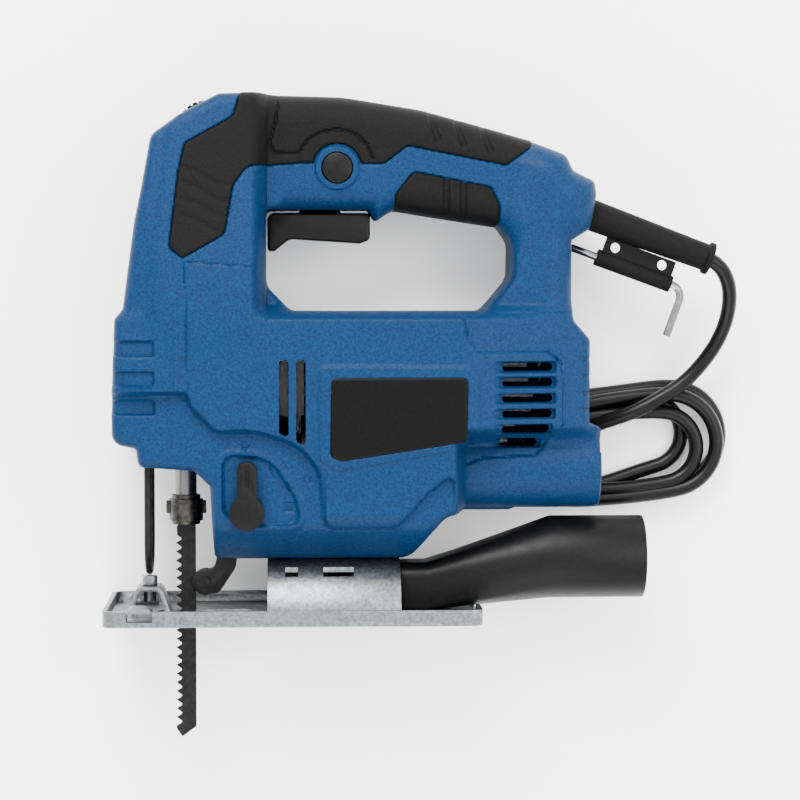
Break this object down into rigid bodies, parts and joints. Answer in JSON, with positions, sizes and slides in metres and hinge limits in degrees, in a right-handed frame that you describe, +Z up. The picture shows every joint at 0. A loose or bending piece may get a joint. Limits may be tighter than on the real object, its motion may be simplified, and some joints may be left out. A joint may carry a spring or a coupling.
{
  "type": "jigsaw power tool",
  "caption": "Corded hand jigsaw lying on its side: clamshell body with loop handle, tilting pressed-steel base, reciprocating blade, dust tube, hex key and looped lead.",
  "frame": {"origin": "bottom centre of the box of the tool without its loose cord, on the bench it lies on", "axes": "+X from the blade towards the cord, +Y from the sole towards the handle, +Z up from the bench (the tool lies on its right side)"},
  "size_m": [0.2538, 0.2554, 0.068],
  "materials": {
    "shell_blue": "fine moulded grain, satin",
    "rubber_black": "matt overmoulded rubber",
    "plastic_black": "satin moulded black",
    "label_black": "smooth satin plate",
    "steel_zinc": "galvanised, fine spangle",
    "steel_dark": "burnished dark steel",
    "steel_bright": "bright nickel plate",
    "steel_plain": "ground steel",
    "steel_black": "black phosphate, oiled",
    "laminations": "stacked electrical steel",
    "copper": "enamelled copper",
    "carbon": "carbon brush",
    "aluminium_cast": "die cast",
    "bronze": "sintered bronze",
    "cord_pvc": "smooth black PVC"
  },
  "bodies": {
    "housing": {"housing_left": "shell_blue", "housing_right": "shell_blue", "grip_left": "rubber_black", "grip_right": "rubber_black", "finger_grip_left": "rubber_black", "finger_grip_right": "rubber_black", "side_labels": "label_black", "housing_screws": "steel_black", "stator_core": "laminations", "field_coils": "copper", "brush_holders": "bronze", "carbon_brushes": "carbon", "motor_bearings": "steel_plain", "gear_spindle": "steel_plain", "gear_plate": "aluminium_cast", "plunger_bushes": "bronze", "guard_wire": "steel_black", "dial_pin": "steel_plain", "speed_module": "plastic_black", "switch_block": "plastic_black", "capacitor": "plastic_black", "cord_clamp": "plastic_black", "arm_pivot": "steel_plain", "strain_relief": "rubber_black", "key_holder": "rubber_black", "inner_cord": "cord_pvc", "cord_lead": "cord_pvc", "cord_tail": "cord_pvc", "cord_coil": "cord_pvc", "mains_plug": "plastic_black"},
    "armature": {"motor_shaft": "steel_plain", "armature_core": "laminations", "armature_windings": "copper", "commutator": "copper", "cooling_fan": "plastic_black", "pinion": "steel_plain"},
    "gear": {"drive_gear": "steel_plain", "gear_bush": "bronze", "crank_pin": "steel_plain", "crank_roller": "steel_plain", "balance_weight": "steel_plain"},
    "plunger_set": {"plunger": "steel_plain", "plunger_yoke": "steel_plain", "clamp_body": "steel_dark", "saw_blade": "steel_black"},
    "clamp_collar": {"clamp_ring": "steel_dark"},
    "trigger_set": {"trigger": "plastic_black"},
    "button": {"lock_button": "plastic_black"},
    "dial": {"speed_dial": "plastic_black"},
    "lever": {"orbital_lever": "plastic_black"},
    "support_arm": {"roller_arm": "steel_black", "roller_pin": "steel_black"},
    "support_roller": {"guide_roller": "steel_black"},
    "base": {"base_plate": "steel_zinc", "tilt_bracket": "steel_zinc", "bracket_rivets": "steel_zinc"},
    "bar_screw": {"guide_screw": "steel_zinc"},
    "tube": {"dust_tube": "plastic_black"},
    "key": {"hex_key": "steel_bright"}
  },
  "joints": [
    {"name": "armature_spin", "type": "hinge", "parent": "housing", "child": "armature", "pos_m": [-0.00513, -0.0193, 0.034], "axis": [1, 0, 0], "continuous": true},
    {"name": "gear_spin", "type": "hinge", "parent": "housing", "child": "gear", "pos_m": [-0.07213, 0.0107, 0.034], "axis": [1, 0, 0], "continuous": true},
    {"name": "plunger_stroke", "type": "slide", "parent": "housing", "child": "plunger_set", "axis": [0, 1, 0], "range_m": [-0.009, 0.009]},
    {"name": "clamp_ring_turn", "type": "hinge", "parent": "plunger_set", "child": "clamp_collar", "pos_m": [-0.09053, -0.0343, 0.034], "axis": [0, 1, 0], "range_deg": [0, 45], "stiffness_Nm_per_rad": 0.02, "springref_deg": -11.46},
    {"name": "trigger_press", "type": "slide", "parent": "housing", "child": "trigger_set", "axis": [0, 1, 0], "range_m": [0, 0.004], "stiffness_N_per_m": 600, "springref_m": -0.002},
    {"name": "lock_button_press", "type": "slide", "parent": "housing", "child": "button", "axis": [0, 0, -1], "range_m": [0, 0.003], "stiffness_N_per_m": 600, "springref_m": -0.002},
    {"name": "speed_dial_turn", "type": "hinge", "parent": "housing", "child": "dial", "pos_m": [-0.08283, 0.1158, 0.034], "axis": [0, 0, 1], "range_deg": [0, 300]},
    {"name": "orbital_lever_turn", "type": "hinge", "parent": "housing", "child": "lever", "pos_m": [-0.06593, -0.0354, 0.063], "axis": [0, 0, 1], "range_deg": [-96, 0]},
    {"name": "support_arm_swing", "type": "hinge", "parent": "housing", "child": "support_arm", "pos_m": [-0.07263, -0.0433, 0.034], "axis": [0, 0, 1], "range_deg": [0, 4]},
    {"name": "support_roller_spin", "type": "hinge", "parent": "support_arm", "child": "support_roller", "pos_m": [-0.08293, -0.0653, 0.034], "axis": [0, 0, 1], "continuous": true},
    {"name": "base_tilt", "type": "hinge", "parent": "housing", "child": "base", "pos_m": [-0.03213, -0.0793, 0.034], "axis": [1, 0, 0], "range_deg": [-45, 45]},
    {"name": "guide_screw_turn", "type": "hinge", "parent": "base", "child": "bar_screw", "pos_m": [-0.10513, -0.0673, 0.034], "axis": [0, 1, 0], "continuous": true},
    {"name": "dust_tube_pull", "type": "slide", "parent": "base", "child": "tube", "axis": [1, 0, 0], "range_m": [0, 0.04]},
    {"name": "hex_key_turn", "type": "hinge", "parent": "housing", "child": "key", "pos_m": [0.06171, 0.06861, 0.034], "axis": [0.9391, -0.3437, 0], "range_deg": [-90, 90]}
  ],
  "couplings": [
    {"joint": "gear_spin", "follows": "armature_spin", "ratio": -0.2}
  ]
}
